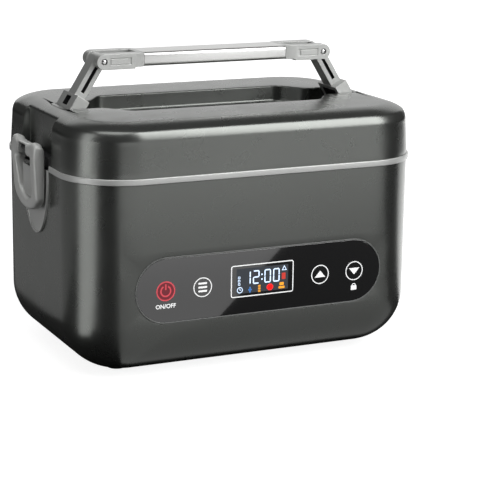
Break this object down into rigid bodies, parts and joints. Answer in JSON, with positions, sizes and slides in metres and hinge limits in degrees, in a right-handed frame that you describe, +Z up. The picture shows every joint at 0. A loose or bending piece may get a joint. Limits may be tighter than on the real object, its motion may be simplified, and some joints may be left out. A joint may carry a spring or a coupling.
{
  "type": "electric lunch box",
  "caption": "Rounded heated lunch box with a lift-off lid, a swing latch at each end, a folding carrying handle, a touch panel and a removable steel tray.",
  "frame": {"origin": "middle of the footprint, on the table that the feet stand on", "axes": "+X along the length, towards the right latch seen from the front; +Y to the back; the control panel faces -Y; +Z up"},
  "size_m": [0.27, 0.1784, 0.2055],
  "materials": {
    "body_plastic": "satin warm dark grey",
    "trim_plastic": "satin light grey",
    "latch_plastic": "satin light grey",
    "grip_metal": "satin silver",
    "pin_steel": "polished",
    "foot_rubber": "matte",
    "panel_black": "glossy",
    "tray_steel": "satin",
    "liner_aluminium": "satin",
    "heating_film": "film",
    "screw_steel": "satin",
    "black_part": "matte",
    "fuse_ceramic": "gloss",
    "wire_red": "matte",
    "ribbon_grey": "matte",
    "cell_blue": "gloss wrap",
    "board_green": "gloss",
    "insulation_felt": "felt and foam",
    "gasket_rubber": "matte"
  },
  "bodies": {
    "base": {"outer_shell": "body_plastic", "base_cover": "body_plastic", "base_screws": "screw_steel", "board_screws": "screw_steel", "control_screws": "screw_steel", "foot_front_left": "foot_rubber", "foot_front_right": "foot_rubber", "foot_rear_left": "foot_rubber", "foot_rear_right": "foot_rubber", "rim_frame": "trim_plastic", "catch_left": "trim_plastic", "catch_right": "trim_plastic", "inner_liner": "liner_aluminium", "insulation_wrap": "insulation_felt", "heater_plate": "liner_aluminium", "heating_film": "heating_film", "heater_nuts": "screw_steel", "heat_shield": "liner_aluminium", "thermostat": "black_part", "thermal_fuse": "fuse_ceramic", "temperature_sensor": "screw_steel", "heater_leads": "wire_red", "battery_tray": "black_part", "battery_cells": "cell_blue", "battery_board": "board_green", "main_board": "board_green", "ribbon_cable": "ribbon_grey", "battery_leads": "wire_red", "socket_leads": "wire_red", "control_board": "board_green", "display_module": "black_part", "touch_film": "heating_film", "touch_panel": "panel_black", "panel_bezel": "trim_plastic", "socket_board": "board_green", "charging_socket": "screw_steel"},
    "tray": {"food_tray": "tray_steel"},
    "lid": {"lid_shell": "body_plastic", "lid_inner": "trim_plastic", "lid_insulation": "insulation_felt", "lid_gasket": "gasket_rubber", "lid_screws": "screw_steel", "leg_pin_left": "pin_steel", "leg_pin_right": "pin_steel", "latch_pin_left": "pin_steel", "latch_pin_right": "pin_steel"},
    "left_leg": {"leg_left": "latch_plastic"},
    "right_leg": {"leg_right": "latch_plastic"},
    "handle": {"grip_bar": "grip_metal", "grip_end_left": "latch_plastic", "grip_end_right": "latch_plastic", "grip_pins_left": "pin_steel", "grip_pins_right": "pin_steel"},
    "left_latch": {"latch_left": "latch_plastic"},
    "right_latch": {"latch_right": "latch_plastic"}
  },
  "joints": [
    {"name": "lid_lift", "type": "slide", "parent": "base", "child": "lid", "axis": [0, 0, 1], "range_m": [0, 0.16]},
    {"name": "tray_lift", "type": "slide", "parent": "base", "child": "tray", "axis": [0, 0, 1], "range_m": [0, 0.08]},
    {"name": "left_latch_swing", "type": "hinge", "parent": "lid", "child": "left_latch", "pos_m": [-0.1306, 0, 0.1441], "axis": [0, 1, 0], "range_deg": [0, 95], "deforming": ["catch_left"]},
    {"name": "right_latch_swing", "type": "hinge", "parent": "lid", "child": "right_latch", "pos_m": [0.1306, 0, 0.1441], "axis": [0, -1, 0], "range_deg": [0, 95], "deforming": ["catch_right"]},
    {"name": "handle_fold", "type": "slide", "parent": "lid", "child": "handle", "axis": [0, 0, -1], "range_m": [0, 0.0355]},
    {"name": "left_leg_fold", "type": "hinge", "parent": "lid", "child": "left_leg", "pos_m": [-0.1034, 0, 0.1648], "axis": [0, 1, 0], "range_deg": [0, 58.3]},
    {"name": "right_leg_fold", "type": "hinge", "parent": "lid", "child": "right_leg", "pos_m": [0.1034, 0, 0.1648], "axis": [0, -1, 0], "range_deg": [0, 58.3]}
  ],
  "couplings": [
    {"joint": "tray_lift", "follows": "lid_lift", "ratio": 0.5},
    {"joint": "left_leg_fold", "follows": "handle_fold", "rad_per_m": 28.62},
    {"joint": "right_leg_fold", "follows": "handle_fold", "rad_per_m": 28.62}
  ]
}
